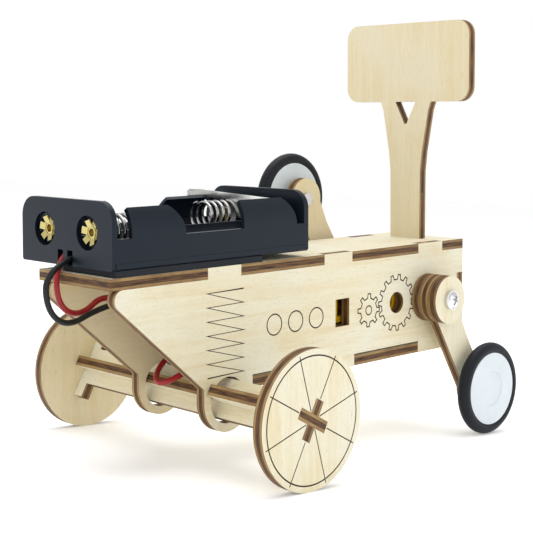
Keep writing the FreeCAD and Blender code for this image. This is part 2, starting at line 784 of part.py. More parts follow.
# ---- gear motor: two gearbox halves ----
boxFront = dim("gearboxFront")
boxRear = dim("gearboxRear")
boxHalf = dim("gearboxHeight") / 2
wall = dim("gearboxWall")
halfWidth = dim("gearboxWidth") / 2
screwSpots = [(8.6, 8.8), (8.6, -8.8), (-23.4, 9.0), (-23.4, -9.0)]
secondX = -10.0
firstX = -18.0
postSpots = [(-10.0, 0.0), (-18.0, 0.0)]
rearWall = 0.8
innerPoints = [
    (boxFront - wall, -boxHalf + wall),
    (boxFront - wall, boxHalf - wall),
    (boxRear + rearWall, boxHalf - wall),
    (boxRear + rearWall, -boxHalf + wall),
]
outerPoints = [
    (boxFront, -boxHalf + 2),
    (boxFront, boxHalf - 2),
    (boxFront - 2, boxHalf),
    (boxRear, boxHalf),
    (boxRear, -boxHalf),
    (boxFront - 2, -boxHalf),
]
for name, side in (("gearbox_half_right", -1), ("gearbox_half_left", 1)):
    half = newBody(name)
    # The outward direction is -Y for the right half; the left half is padded the other way.
    reverse = side > 0

    def level(reach):
        return reach if side < 0 else -reach

    sketch = addSketch(half, "Case", "XZ_Plane", [polygon(outerPoints)])
    addPad(half, "Shell", sketch, "Dimensions.gearboxWidth / 2", reverse)
    sketch = addSketch(half, "Hollow", "XZ_Plane", [polygon(innerPoints)], level(halfWidth - wall))
    addPocket(half, "Cavity", sketch, "Dimensions.gearboxWidth / 2 - Dimensions.gearboxWall", reverse)
    posts = [circle(x, z, 1.9) for x, z in screwSpots]
    sketch = addSketch(half, "Posts", "XZ_Plane", posts)
    addPad(half, "ScrewPosts", sketch, "Dimensions.gearboxWidth / 2 - 1", reverse)
    ring = [circle(0, 0, 4.6)]
    sketch = addSketch(half, "Boss", "XZ_Plane", ring, level(halfWidth - wall))
    addPad(half, "ShaftBoss", sketch, "Dimensions.gearboxWall + 0.5", reverse)
    if side < 0:
        # A deep round socket faces the hole in the right panel.
        sketch = addSketch(half, "SocketWall", "XZ_Plane", [circle(pegX, pegZ, 2.8)], halfWidth - 0.5)
        addPad(half, "Socket", sketch, "4.5 mm", True)
        sketch = addSketch(half, "SocketBore", "XZ_Plane", [circle(pegX, pegZ, 2.2)], halfWidth + 0.1)
        addPocket(half, "SocketHollow", sketch, "4.3 mm", False)
    else:
        sketch = addSketch(half, "Peg", "XZ_Plane", [circle(pegX, pegZ, 2.1)], level(halfWidth - 0.5))
        addPad(half, "LocatingPeg", sketch, "2.0 mm", reverse)
    arms = [
        rectangle(boxRear - 9.0, 2.2, boxRear + 0.5, 3.6),
        rectangle(boxRear - 9.0, -3.6, boxRear + 0.5, -2.2),
    ]
    sketch = addSketch(half, "HookArms", "XZ_Plane", arms, level(halfWidth - 1.7))
    addPad(half, "StrapArms", sketch, "1.5 mm", reverse)
    hook = [rectangle(boxRear - 9.0, -3.6, boxRear - 4.6, 3.6)]
    sketch = addSketch(half, "Hook", "XZ_Plane", hook, level(halfWidth - 1.7))
    addPad(half, "StrapHook", sketch, "1.5 mm", reverse)
    drill = [circle(0, 0, shaftRadius + 0.06)]
    sketch = addSketch(half, "ShaftBore", "XZ_Plane", drill, level(halfWidth + 0.6))
    addPocket(half, "ShaftHole", sketch, "3 mm", reverse)
    # The socket stands in the way of the second pin, so that pin is held by the left half alone.
    drill = [circle(x, z, 0.75) for x, z in postSpots if side > 0 or x != secondX]
    sketch = addSketch(half, "PinBores", "XZ_Plane", drill, level(halfWidth - wall))
    addPocket(half, "PinHoles", sketch, "0.9 mm", not reverse)
    drill = [circle(x, z, 0.9) for x, z in screwSpots]
    depth = "Dimensions.gearboxWidth / 2 + 0.1" if side < 0 else "7 mm"
    start = halfWidth + 0.05 if side < 0 else 0.0
    sketch = addSketch(half, "ScrewBores", "XZ_Plane", drill, level(start))
    addPocket(half, "ScrewHoles", sketch, depth, False)
    sketch = addSketch(half, "Mouth", "YZ_Plane", [circle(0, 0, 2.3)], boxRear - 0.1)
    addPocket(half, "PinionMouth", sketch, "1.5 mm", True)
    place(half)

screws = []
for x, z in screwSpots:
    start = Vector(x, -halfWidth, z)
    head = Part.makeCylinder(1.6, 0.45, start, Vector(0, -1, 0))
    shank = Part.makeCylinder(0.88, 15.6, start, Vector(0, 1, 0))
    slot = Part.makeBox(2.2, 0.3, 0.4, Vector(x - 1.1, -halfWidth - 0.5, z - 0.2))
    screws.append(head.fuse(shank).cut(slot).removeSplitter())
item = solidPiece("gearbox_screws", Part.makeCompound(screws))
place(item)

# ---- gear train: 8 : 32, 10 : 30, 10 : 40 ----
module = dim("gearModule")
addendum = 0.36
dedendum = 0.5
toothRoot = 0.46
toothTip = 0.2


def gearLoop(teeth, phase):
    radius = module * teeth / 2
    points = toothedOutline(0, 0, teeth, radius - dedendum, radius + addendum, toothRoot, toothTip, phase)
    return polygon(points)


finalPhase = 0.0
gear = newBody("output_gear")
loops = [gearLoop(40, finalPhase), doubleFlat(shaftRadius + 0.005, flat + 0.005, armAngle)]
sketch = addSketch(gear, "Teeth", "XZ_Plane", loops)
addPad(gear, "Blank", sketch, "2.6 mm")
place(gear, Vector(0, 5.3, 0))

boreLoop = circle(0, 0, 0.82)
gear = newBody("second_gear")
sketch = addSketch(gear, "WheelTeeth", "XZ_Plane", [gearLoop(30, 0.0), boreLoop])
addPad(gear, "Wheel", sketch, "2.0 mm")
# The pinion's teeth sit in the output gear's gaps at the rest position.
pinionPhase = 360.0 / 10 / 2
sketch = addSketch(gear, "PinionTeeth", "XZ_Plane", [gearLoop(10, pinionPhase), boreLoop], -4.2)
addPad(gear, "Pinion", sketch, "4.2 mm")
place(gear, Vector(secondX, 1.5, 0))

crownX = firstX
gear = newBody("crown_gear")
wheelPhase = 360.0 / 10 / 2
sketch = addSketch(gear, "PinionTeeth", "XZ_Plane", [gearLoop(10, wheelPhase), boreLoop], -3.8)
addPad(gear, "Pinion", sketch, "5.3 mm")
sketch = addSketch(gear, "Disc", "XZ_Plane", [circle(0, 0, 6.9), boreLoop])
addPad(gear, "Web", sketch, "1.5 mm")
crownLoops = []
for tooth in range(32):
    angle = 180 + (tooth + 0.5) * 360.0 / 32
    corners = []
    for radius, across in ((5.7, -1), (6.85, -1), (6.85, 1), (5.7, 1)):
        alongX, alongZ = polar(0, 0, radius, angle)
        sideX, sideZ = polar(0, 0, across * 0.17, angle + 90)
        corners.append((alongX + sideX, alongZ + sideZ))
    crownLoops.append(polygon(corners))
sketch = addSketch(gear, "CrownTeeth", "XZ_Plane", crownLoops, -0.85)
addPad(gear, "Crown", sketch, "0.9 mm")
place(gear, Vector(crownX, -2.1, 0))

pins = []
for x, z in postSpots:
    foot = Vector(x, -4.38 if x == secondX else -halfWidth + 0.55, z)
    pins.append(Part.makeCylinder(0.74, halfWidth - 0.55 - foot.y, foot, Vector(0, 1, 0)))
item = solidPiece("gear_pins", Part.makeCompound(pins))
place(item)

pinionRadius = module * 8 / 2
pinion = newBody("motor_pinion")
pinionPoints = toothedOutline(0, 0, 8, pinionRadius - dedendum, pinionRadius + addendum, 0.46, 0.2, 90.0)
sketch = addSketch(pinion, "Teeth", "YZ_Plane", [polygon(pinionPoints), circle(0, 0, 0.75)], -25.1)
addPad(pinion, "Gear", sketch, "2.3 mm")
place(pinion)

motorShaft = newBody("motor_shaft")
sketch = addSketch(motorShaft, "Round", "YZ_Plane", [circle(0, 0, 0.75)], -52.8)
addPad(motorShaft, "Rod", sketch, "30.0 mm")
place(motorShaft)

# ---- motor can, end cap, terminals and strap ----
canStart = boxRear - 0.01
canLength = dim("canLength")
canHalf = dim("canWidth") / 2
canFlat = dim("canThickness") / 2
canRound = math.sqrt(canHalf * canHalf - canFlat * canFlat)


def canLoop(shrink):
    big = canHalf - shrink
    small = canFlat - shrink
    reach = math.sqrt(big * big - small * small)
    return path(
        [
            ("line", (small, -reach), (small, reach)),
            ("arc", (small, reach), (0, big), (-small, reach)),
            ("line", (-small, reach), (-small, -reach)),
            ("arc", (-small, -reach), (0, -big), (small, -reach)),
        ]
    )


can = newBody("motor_can")
sketch = addSketch(can, "Case", "YZ_Plane", [canLoop(0)], canStart)
addPad(can, "Drawn", sketch, "Dimensions.canLength", True)
sketch = addSketch(can, "Inside", "YZ_Plane", [canLoop(0.6)], canStart - canLength)
addPocket(can, "Hollow", sketch, "Dimensions.canLength - 0.8", True)
sketch = addSketch(can, "Bearing", "YZ_Plane", [circle(0, 0, 0.81)], canStart + 0.1)
addPocket(can, "BearingBore", sketch, "2 mm")
place(can)

cap = newBody("motor_end_cap")
sketch = addSketch(cap, "Case", "YZ_Plane", [canLoop(0.65)], canStart - canLength + 2.0)
addPad(cap, "Plug", sketch, "2.0 mm", True)
sketch = addSketch(cap, "Rear", "YZ_Plane", [canLoop(0.1)], canStart - canLength)
addPad(cap, "Flange", sketch, "1.6 mm", True)
sketch = addSketch(cap, "Boss", "YZ_Plane", [circle(0, 0, 3.2)], canStart - canLength - 1.0)
addPad(cap, "BearingBoss", sketch, "1.8 mm", True)
sketch = addSketch(cap, "Bearing", "YZ_Plane", [circle(0, 0, 0.81)], canStart - canLength + 2.1)
addPocket(cap, "BearingBore", sketch, "3.9 mm")
lugSlots = [rectangle(-0.25, 6.0, 0.25, 8.0), rectangle(-0.25, -8.0, 0.25, -6.0)]
sketch = addSketch(cap, "LugSlots", "YZ_Plane", lugSlots, canStart - canLength - 1.7)
addPocket(cap, "LugHoles", sketch, "2.4 mm", True)
place(cap)

lugs = []
lugFace = canStart - canLength - 1.6
for z in (7.0, -7.0):
    lug = Part.makeBox(5.2, 0.5, 2.0, Vector(lugFace - 3.4, -0.25, z - 1.0))
    eye = Part.makeCylinder(0.6, 2.0, Vector(lugFace - 2.2, -1.0, z), Vector(0, 1, 0))
    lugs.append(lug.cut(eye))
item = solidPiece("motor_terminals", Part.makeCompound(lugs))
place(item)

strapWide = 4.0
strapX = boxRear - 13.4
strap = newBody("motor_strap")


def strapLoop(grow):
    return path(
        [
            ("line", (9.25 + grow, -6.0), (9.25 + grow, 6.0)),
            ("arc", (9.25 + grow, 6.0), (0, canHalf + 0.1 + grow), (-9.25 - grow, 6.0)),
            ("line", (-9.25 - grow, 6.0), (-9.25 - grow, -6.0)),
            ("arc", (-9.25 - grow, -6.0), (0, -canHalf - 0.1 - grow), (9.25 + grow, -6.0)),
        ]
    )


sketch = addSketch(strap, "Band", "YZ_Plane", [strapLoop(0.4), strapLoop(0.02)], strapX)
addPad(strap, "Strip", sketch, "%s mm" % strapWide)
place(strap)

# ---- battery holder for two cells side by side ----
holderRear = dim("holderRear")
holderLength = dim("holderLength")
holderFront = holderRear + holderLength
holderRight = dim("holderRight")
holderLeft = holderRight + dim("holderWidth")
holderMiddle = (holderRight + holderLeft) / 2
holderLow = dim("deckTop") + dim("tapeThickness")
holderHigh = holderLow + dim("holderHeight")
bayRadius = dim("bayRadius")
bayCentres = [holderMiddle - 7.55, holderMiddle + 7.55]
bayAxisZ = holderLow + 7.6
endRear = 1.3
endFront = 1.4
lowWall = holderLow + 6.5
cheekHigh = holderHigh - 0.9
cornerSize = 4.2


def blockLoop(left, right, low, high, corner, foot=0.4):
    slant = corner * (1 - math.sqrt(0.5))
    return path(
        [
            ("line", (left + foot, low), (right - foot, low)),
            ("line", (right - foot, low), (right, low + foot)),
            ("line", (right, low + foot), (right, high - corner)),
            ("arc", (right, high - corner), (right - slant, high - slant), (right - corner, high)),
            ("line", (right - corner, high), (left + corner, high)),
            ("arc", (left + corner, high), (left + slant, high - slant), (left, high - corner)),
            ("line", (left, high - corner), (left, low + foot)),
            ("line", (left, low + foot), (left + foot, low)),
        ]
    )


holder = newBody("battery_holder")
# Rear and front end walls.
sketch = addSketch(
    holder, "RearWall", "YZ_Plane",
    [blockLoop(holderRight, holderLeft, holderLow, holderHigh, cornerSize)], holderRear,
)
addPad(holder, "RearEnd", sketch, "Dimensions.holderLength")
cavityRear = holderRear + endRear + 1.4
cavityFront = holderFront - endFront - 0.6
# Long space above the low side walls, between the end walls.
sketch = addSketch(
    holder, "Above", "YZ_Plane",
    [rectangle(holderRight - 1, lowWall, holderLeft + 1, holderHigh + 1)], holderRear + endRear,
)
addPocket(holder, "OpenTop", sketch, "Dimensions.holderLength - 2.7", True)
# Cheeks: curved walls standing on the low walls, two on each side and the middle rib.
cheekSpans = {-1: [(-97.3, -82.5), (-65.3, -48.3)], 1: [(-98.7, -80.5), (-64.5, -49.8)]}


def cheekSection(side):
    outer = holderRight if side < 0 else holderLeft
    centre = bayCentres[0] if side < 0 else bayCentres[1]
    outward = -1 if side < 0 else 1
    thick = 1.1
    outerRadius = abs(outer - centre) - 0.02
    innerRadius = outerRadius - thick
    startAngle = 0
    stopAngle = 38 if side < 0 else 31

    def at(radius, angle):
        turned = math.radians(angle)
        return (centre + outward * radius * math.cos(turned), bayAxisZ + radius * math.sin(turned))

    low = lowWall - 0.4
    lowOuter = (outer - outward * 0.02, low)
    lowInner = (centre + outward * innerRadius, low)
    return path(
        [
            ("line", lowInner, lowOuter),
            ("line", lowOuter, at(outerRadius, startAngle)),
            ("arc", at(outerRadius, startAngle), at(outerRadius, stopAngle / 2), at(outerRadius, stopAngle)),
            ("line", at(outerRadius, stopAngle), at(innerRadius, stopAngle)),
            ("arc", at(innerRadius, stopAngle), at(innerRadius, stopAngle / 2), at(innerRadius, startAngle)),
            ("line", at(innerRadius, startAngle), lowInner),
        ]
    )


for side, spans in cheekSpans.items():
    word = "Right" if side < 0 else "Left"
    for index, (spanStart, spanEnd) in enumerate(spans):
        name = word + str(index)
        sketch = addSketch(holder, "Cheek" + name, "YZ_Plane", [cheekSection(side)], spanStart)
        addPad(holder, "CheekWall" + name, sketch, "%s mm" % round(spanEnd - spanStart, 3))
        # Each cheek is square at one end and rounded down to the low wall at the other.
        rounded = spanEnd if side < 0 else spanStart
        inward = -1 if side < 0 else 1
        cheekTop = bayAxisZ + 5.9
        lobe = path(
            [
                ("line", (rounded + inward * 5.2, cheekTop), (rounded - inward * 0.5, cheekTop)),
                ("line", (rounded - inward * 0.5, cheekTop), (rounded - inward * 0.5, lowWall + 0.02)),
                ("line", (rounded - inward * 0.5, lowWall + 0.02), (rounded, lowWall + 0.02)),
                (
                    "arc",
                    (rounded, lowWall + 0.02),
                    (rounded + inward * 1.5, lowWall + 4.2),
                    (rounded + inward * 5.2, cheekTop),
                ),
            ]
        )
        start = -holderRight - 6 if side < 0 else -holderLeft - 1
        sketch = addSketch(holder, "Lobe" + name, "XZ_Plane", [lobe], start)
        addPocket(holder, "LobeCut" + name, sketch, "7 mm", True)
# Two round-bottomed bays.
bayLoops = [circle(centre, bayAxisZ, bayRadius, "Dimensions.bayRadius") for centre in bayCentres]
sketch = addSketch(holder, "Bays", "YZ_Plane", bayLoops, cavityRear)
addPocket(holder, "BayHollows", sketch, "%s mm" % round(cavityFront - cavityRear, 3), True)
# Round bosses behind the front contact plate.
recessCentres = bayCentres
recessZ = holderLow + 7.4
plateSeat = cavityFront - 2.6
bosses = [circle(centre, recessZ, 3.0) for centre in recessCentres]
sketch = addSketch(holder, "Bosses", "YZ_Plane", bosses, plateSeat)
addPad(holder, "PlateBosses", sketch, "%s mm" % round(cavityFront + 0.3 - plateSeat, 3))
# Rivet recesses and wire slots in the rear end wall.
recesses = [circle(centre, recessZ, 3.65) for centre in recessCentres]
sketch = addSketch(holder, "Recesses", "YZ_Plane", recesses, holderRear)
addPocket(holder, "RivetRecesses", sketch, "1.5 mm", True)
holes = [circle(centre, recessZ, 1.25) for centre in recessCentres]
sketch = addSketch(holder, "RivetBores", "YZ_Plane", holes, holderRear)
addPocket(holder, "RivetHoles", sketch, "3.5 mm", True)
sketch = addSketch(holder, "FrontRivetBores", "YZ_Plane", holes, holderFront)
addPocket(holder, "FrontRivetHoles", sketch, "6.0 mm")
wireSlots = [
    rectangle(1.0, holderLow - 0.1, 2.9, holderLow + 3.3),
    rectangle(4.4, holderLow - 0.1, 6.3, holderLow + 3.3),
]
sketch = addSketch(holder, "Slots", "YZ_Plane", wireSlots, holderRear)
addPocket(holder, "WireSlots", sketch, "2.2 mm", True)
# Moulded skirt line along both long sides.
skirt = [
    rectangle(holderRight - 0.12, holderLow + 0.4, holderRight + 0.3, holderLow + 1.5),
    rectangle(holderLeft - 0.3, holderLow + 0.4, holderLeft + 0.12, holderLow + 1.5),
]
sketch = addSketch(holder, "Skirt", "YZ_Plane", skirt, holderRear + 1.0)
addPad(holder, "SkirtLine", sketch, "Dimensions.holderLength - 2")
place(holder)

tape = newBody("holder_foam_tape")
tapeRear = holderRear + 1.0
tapeRight = holderRight + 0.2
tapeLoop = rectangle(tapeRear, tapeRight, tapeRear + dim("tapeLength"), tapeRight + dim("tapeWidth"))
sizes = [(0, "DistanceX", dim("tapeLength"), "Dimensions.tapeLength")]
sizes.append((1, "DistanceY", dim("tapeWidth"), "Dimensions.tapeWidth"))
sketch = addSketch(tape, "Outline", "XY_Plane", [tapeLoop], 0.0, sizes)
addPad(tape, "Foam", sketch, "Dimensions.tapeThickness")
place(tape, Vector(0, 0, dim("deckTop")))

# Contact plates lie on the inner faces of the end walls.
rearInner = cavityRear
frontInner = plateSeat
plateThick = 0.35
plateLow = recessZ - 4.0
plates = []
for centre in recessCentres:
    plate = Part.makeBox(plateThick, 8.4, 8.2, Vector(rearInner, centre - 4.2, plateLow))
    hole = Part.makeCylinder(1.25, 2, Vector(rearInner - 1, centre, recessZ), Vector(1, 0, 0))
    plates.append(plate.cut(hole))
# One plate at the front joins the two cells in a row, with a tab bent round its left end.
bridgeLow = lowWall + 0.5
right, left = recessCentres
outline = [
    (right - 4.2, plateLow), (right + 4.2, plateLow), (right + 4.2, bridgeLow),
    (left - 4.2, bridgeLow), (left - 4.2, plateLow), (left + 4.2, plateLow),
    (left + 4.2, 25.2), (19.15, 26.6), (19.15, 28.6), (right - 4.5, 27.45),
    (right - 5.1, 26.8), (right - 4.2, 25.2), (right - 4.2, plateLow),
]
corners = [Vector(frontInner - plateThick, y, z) for y, z in outline]
plate = Part.Face(Part.makePolygon(corners)).extrude(Vector(plateThick, 0, 0))
for centre in recessCentres:
    hole = Part.makeCylinder(1.25, 2, Vector(frontInner - 1, centre, recessZ), Vector(1, 0, 0))
    plate = plate.cut(hole)
tabRear = frontInner - plateThick - 5.1
tabOutline = [(tabRear, 26.6), (frontInner, 26.6), (frontInner, 28.6), (tabRear + 0.7, 28.9), (tabRear, 28.2)]
corners = [Vector(x, 18.8, z) for x, z in tabOutline + tabOutline[:1]]
tab = Part.Face(Part.makePolygon(corners)).extrude(Vector(0, plateThick, 0))
plates.append(plate.fuse(tab).removeSplitter())
item = solidPiece("contact_plates", Part.makeCompound(plates))
place(item)

# Splayed rivets: petals in the rear recesses, plain flat heads inside.
rivets = []
rivetSeats = [
    (holderRear + 1.5, -1, rearInner - holderRear - 1.5),
    (holderFront, 1, holderFront - frontInner),
]
for centre in recessCentres:
    for face, outward, wallDepth in rivetSeats:
        base = Vector(face, centre, recessZ)
        direction = Vector(outward, 0, 0)
        barrel = Part.makeCylinder(1.22, wallDepth + plateThick, base, direction * -1)
        flange = Part.makeCylinder(2.0, 0.3, base, direction)
        inside = base - direction * (wallDepth + plateThick)
        head = Part.makeCylinder(1.9, 0.4, inside, direction * -1)
        rivet = barrel.fuse([flange, head])
        if outward < 0:
            for petal in range(6):
                leaf = Part.makeBox(0.3, 1.5, 1.5, Vector(0, 1.3, -0.75))
                leaf.rotate(Vector(), Vector(0, 0, 1), 18)
                leaf.rotate(Vector(), Vector(1, 0, 0), 60 * petal + 12)
                leaf.translate(base)
                rivet = rivet.fuse(leaf)
            eye = Part.makeCylinder(0.85, 2.0, base + direction * 1.0, direction * -1)
            rivet = rivet.cut(eye)
        rivets.append(rivet.removeSplitter())
item = solidPiece("contact_rivets", Part.makeCompound(rivets))
place(item)

# Coil springs press the cells forward (right bay) and rearward (left bay).
springWire = dim("springWire")


def coilSpring(start, direction, length, turns):
    helix = Part.makeHelix(length / turns, length, 3.3)
    profile = Part.Wire([Part.makeCircle(springWire / 2, Vector(3.3, 0, 0), Vector(0, 1, 0))])
    coil = Part.Wire(helix.Edges).makePipeShell([profile], True, True)
    coil.rotate(Vector(), Vector(0, 1, 0), 90 * direction)
    coil.translate(start)
    return Part.makeCompound([coil])


rightStart = Vector(rearInner + plateThick + 0.9, bayCentres[0], recessZ)
leftStart = Vector(frontInner - plateThick - 0.9, bayCentres[1], recessZ)
item = solidPiece("right_bay_spring", coilSpring(rightStart, 1, 6.5, 4))
place(item)
item = solidPiece("left_bay_spring", coilSpring(leftStart, -1, 7.6, 4))
place(item)


# ---- wires: straight runs joined by tangent arcs ----
def cordPath(points):
    edges = []
    radii = []
    length = 0.0
    here = points[0]
    for index in range(1, len(points) - 1):
        before = points[index] - points[index - 1]
        after = points[index + 1] - points[index]
        turn = before.getAngle(after)
        shorter = min(before.Length, after.Length)
        setback = 0.45 * shorter
        radius = setback / math.tan(turn / 2)
        into = Vector(before).normalize()
        out = Vector(after).normalize()
        start = points[index] - into * setback
        stop = points[index] + out * setback
        inward = (out - into).normalize()
        reach = radius / math.cos(turn / 2) - radius
        middle = points[index] + inward * reach
        edges.append(Part.LineSegment(here, start).toShape())
        edges.append(Part.Arc(start, middle, stop).toShape())
        length += here.distanceToPoint(start) + radius * turn
        radii.append(round(radius, 2))
        here = stop
    edges.append(Part.LineSegment(here, points[-1]).toShape())
    length += here.distanceToPoint(points[-1])
    return edges, radii, length


def cordTube(points, diameter):
    edges, radii, length = cordPath(points)
    spine = Part.Wire(edges)
    tangent = points[1] - points[0]
    profile = Part.Wire([Part.makeCircle(diameter / 2, points[0], tangent)])
    tube = spine.makePipeShell([profile], True, True)
    expected = math.pi * diameter * diameter / 4 * length
    return tube, radii, length, tube.Volume / expected


wireDiameter = dim("wireDiameter")
slotZ = holderLow + 1.6
terminalX = lugFace - 2.4
routes = {
    "black_wire": [
        (-101.4, 1.95, slotZ + 0.3),
        (-108.9, 1.95, 14.9),
        (-108.6, 1.8, 6.6),
        (-103.4, 2.0, 2.5),
        (-95.0, 2.4, 5.4),
        (-86.6, 1.5, 6.8),
        (-79.5, 0.5, 0.5),
        (-71.5, -0.8, -4.4),
        (-63.5, -1.3, -5.2),
        (terminalX, -0.92, -6.8),
    ],
    "red_wire": [
        (-101.4, 5.35, slotZ + 0.3),
        (-104.5, 4.6, 14.6),
        (-104.2, 3.7, 6.4),
        (-98.0, 4.2, 4.0),
        (-91.0, 4.6, 8.6),
        (-77.8, 4.4, 2.0),
        (-68.2, 4.4, -6.1),
        (-78.2, 2.6, -9.4),
        (-84.9, -5.0, -12.4),
        (-72.4, -6.5, -7.9),
        (-62.4, 1.8, 1.8),
        (terminalX, 0.92, 6.8),
    ],
}
wireReport = []
for name, route in routes.items():
    points = [Vector(*point) for point in route]
    tube, radii, length, share = cordTube(points, wireDiameter)
    item = solidPiece(name, tube)
    place(item)
    turned = [stance.multVec(point) for point in points]
    wireReport.append((name, radii, round(length, 2), round(share, 4), turned))

doc.recompute()

# ---- checks and files ----
os.makedirs("parts", exist_ok=True)
total = 0.0
whole = FreeCAD.BoundBox()
for item in doc.Objects:
    for word in ("Invalid", "Error"):
        if word in item.State:
            raise RuntimeError("%s is %s" % (item.Name, item.State))
for item in made:
    shape = item.Shape
    if shape.isNull() or not shape.isValid():
        raise RuntimeError("bad shape: " + item.Label)
    if shape.Volume <= 0:
        raise RuntimeError("no volume: " + item.Label)
    shape.exportStep("parts/%s.step" % item.Label)
    total += shape.Volume
    if not item.Label.endswith("_wire"):
        whole.add(shape.optimalBoundingBox(False))
    print("%-22s %2d solids %10.2f mm3" % (item.Label, len(shape.Solids), shape.Volume))
print("pitch %.4f  shift %.4f %.4f" % (pitch, stanceShift.x, stanceShift.z))
print("box X %.3f %.3f  Y %.3f %.3f  Z %.3f %.3f" % (
    whole.XMin, whole.XMax, whole.YMin, whole.YMax, whole.ZMin, whole.ZMax))
print("nodes %d, volume %.1f" % (len(made), total))
for name, radii, length, share, turned in wireReport:
    print(name, "radii", radii, "length", length, "volume share", share)
    print([(round(p.x / 1000, 6), round(p.y / 1000, 6), round(p.z / 1000, 6)) for p in turned])
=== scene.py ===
import bpy
import json
import math
from mathutils import Matrix, Vector


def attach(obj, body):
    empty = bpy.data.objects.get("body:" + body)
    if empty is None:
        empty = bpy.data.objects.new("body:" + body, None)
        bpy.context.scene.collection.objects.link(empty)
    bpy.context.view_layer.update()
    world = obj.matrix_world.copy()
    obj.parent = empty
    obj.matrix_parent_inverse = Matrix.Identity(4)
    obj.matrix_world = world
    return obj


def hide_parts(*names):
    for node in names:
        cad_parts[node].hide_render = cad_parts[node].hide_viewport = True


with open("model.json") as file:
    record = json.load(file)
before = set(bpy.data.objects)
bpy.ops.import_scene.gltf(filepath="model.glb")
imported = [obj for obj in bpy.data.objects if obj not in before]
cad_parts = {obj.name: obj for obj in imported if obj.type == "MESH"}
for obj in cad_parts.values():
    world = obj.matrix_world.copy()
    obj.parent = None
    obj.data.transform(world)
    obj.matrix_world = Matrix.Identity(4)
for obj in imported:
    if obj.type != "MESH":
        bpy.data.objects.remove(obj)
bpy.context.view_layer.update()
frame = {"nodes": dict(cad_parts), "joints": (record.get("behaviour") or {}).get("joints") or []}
nodes = frame["nodes"]
joints = {joint["name"]: joint for joint in frame["joints"]}
print("frame loaded,", len(nodes), "nodes")

# The level body frame: millimetres from the arm drive shaft, pitched nose-up on its wheels.
motorAxis = joints["motor_spin"]["axis"]
pitch = math.atan2(motorAxis[2], motorAxis[0])
driveCentre = Vector(joints["arm_drive"]["pos_m"])
axleCentre = Vector(joints["rear_axle_spin"]["pos_m"])
stance = Matrix.Translation(driveCentre) @ Matrix.Rotation(-pitch, 4, "Y")


def bodyPoint(x, y, z):
    return stance @ Vector((x / 1000, y / 1000, z / 1000))


scene = bpy.context.scene
scene.view_settings.view_transform = "Standard"
scene.view_settings.look = "None"

# Camera: low, from the rear right, looking along the right side panel to the mast.
cameraSettings = {
    "location": (-0.220573, -0.210104, 0.064502),
    "forward": (0.68364, 0.72979, -0.00559),
    "up": (-0.03259, 0.03819, 0.99874),
    "lens": 83.3087,
    "shiftX": 0.08349,
    "shiftY": -0.15854,
    "sensorWidth": 36,
    "clip": (0.01, 50),
}


def makeCamera(settings):
    data = bpy.data.cameras.new("studioCamera")
    camera = bpy.data.objects.new("studioCamera", data)
    scene.collection.objects.link(camera)
    forward = Vector(settings["forward"]).normalized()
    right = forward.cross(Vector(settings["up"])).normalized()
    up = right.cross(forward)
    camera.matrix_world = Matrix(
        (
            (right.x, up.x, -forward.x, settings["location"][0]),
            (right.y, up.y, -forward.y, settings["location"][1]),
            (right.z, up.z, -forward.z, settings["location"][2]),
            (0, 0, 0, 1),
        )
    )
    data.lens = settings["lens"]
    data.sensor_width = settings["sensorWidth"]
    data.shift_x = settings["shiftX"]
    data.shift_y = settings["shiftY"]
    data.clip_start, data.clip_end = settings["clip"]
    scene.camera = camera


makeCamera(cameraSettings)
print("camera placed")


# Small helpers for node trees.
def addNode(tree, kind, inputs=None, **settings):
    node = tree.nodes.new(kind)
    for name, setting in settings.items():
        setattr(node, name, setting)
    for name, setting in (inputs or {}).items():
        if isinstance(setting, bpy.types.NodeSocket):
            tree.links.new(setting, node.inputs[name])
        else:
            node.inputs[name].default_value = setting
    return node


def calc(tree, operation, first, second=0.0, third=0.0, clamp=False):
    node = addNode(tree, "ShaderNodeMath", operation=operation, use_clamp=clamp)
    for index, setting in enumerate((first, second, third)):
        if isinstance(setting, bpy.types.NodeSocket):
            tree.links.new(setting, node.inputs[index])
        else:
            node.inputs[index].default_value = setting
    return node.outputs[0]


def blendColours(tree, share, first, second):
    node = addNode(tree, "ShaderNodeMix", data_type="RGBA")
    for index, setting in ((0, share), (6, first), (7, second)):
        if isinstance(setting, bpy.types.NodeSocket):
            tree.links.new(setting, node.inputs[index])
        elif index == 0:
            node.inputs[index].default_value = setting
        else:
            node.inputs[index].default_value = (*setting[:3], 1)
    return node.outputs[2]


def stepUp(tree, source, low, high):
    return addNode(
        tree, "ShaderNodeMapRange", {0: source, 1: low, 2: high}, interpolation_type="SMOOTHSTEP"
    ).outputs[0]


def localVector(tree, turn, pivot):
    # Object coordinates as millimetres in a piece's own level frame, turned about Y round a pivot.
    millimetres = 1000
    coordinates = addNode(tree, "ShaderNodeTexCoord")
    turned = Matrix.Rotation(turn, 3, "Y") @ (Vector(pivot) * -millimetres)
    placed = addNode(
        tree,
        "ShaderNodeMapping",
        {"Vector": coordinates.outputs["Object"], "Scale": (millimetres, millimetres, millimetres)},
    )
    placed.inputs["Rotation"].default_value = (0, turn, 0)
    placed.inputs["Location"].default_value = turned
    facing = addNode(
        tree, "ShaderNodeMapping", {"Vector": coordinates.outputs["Normal"]}, vector_type="VECTOR"
    )
    facing.inputs["Rotation"].default_value = (0, turn, 0)
    return placed.outputs[0], facing.outputs[0]


def stretched(tree, vector, scale, shift):
    return addNode(
        tree, "ShaderNodeMapping", {"Vector": vector, "Scale": scale, "Location": shift}
    ).outputs[0]


def noise(tree, vector, scale, detail, roughness=0.55, distortion=0.0):
    return addNode(
        tree,
        "ShaderNodeTexNoise",
        {
            "Vector": vector,
            "Scale": scale,
            "Detail": detail,
            "Roughness": roughness,
            "Distortion": distortion,
        },
    ).outputs[0]


def bump(tree, height, strength, distance):
    return addNode(
        tree, "ShaderNodeBump", {"Height": height, "Strength": strength, "Distance": distance}
    ).outputs[0]


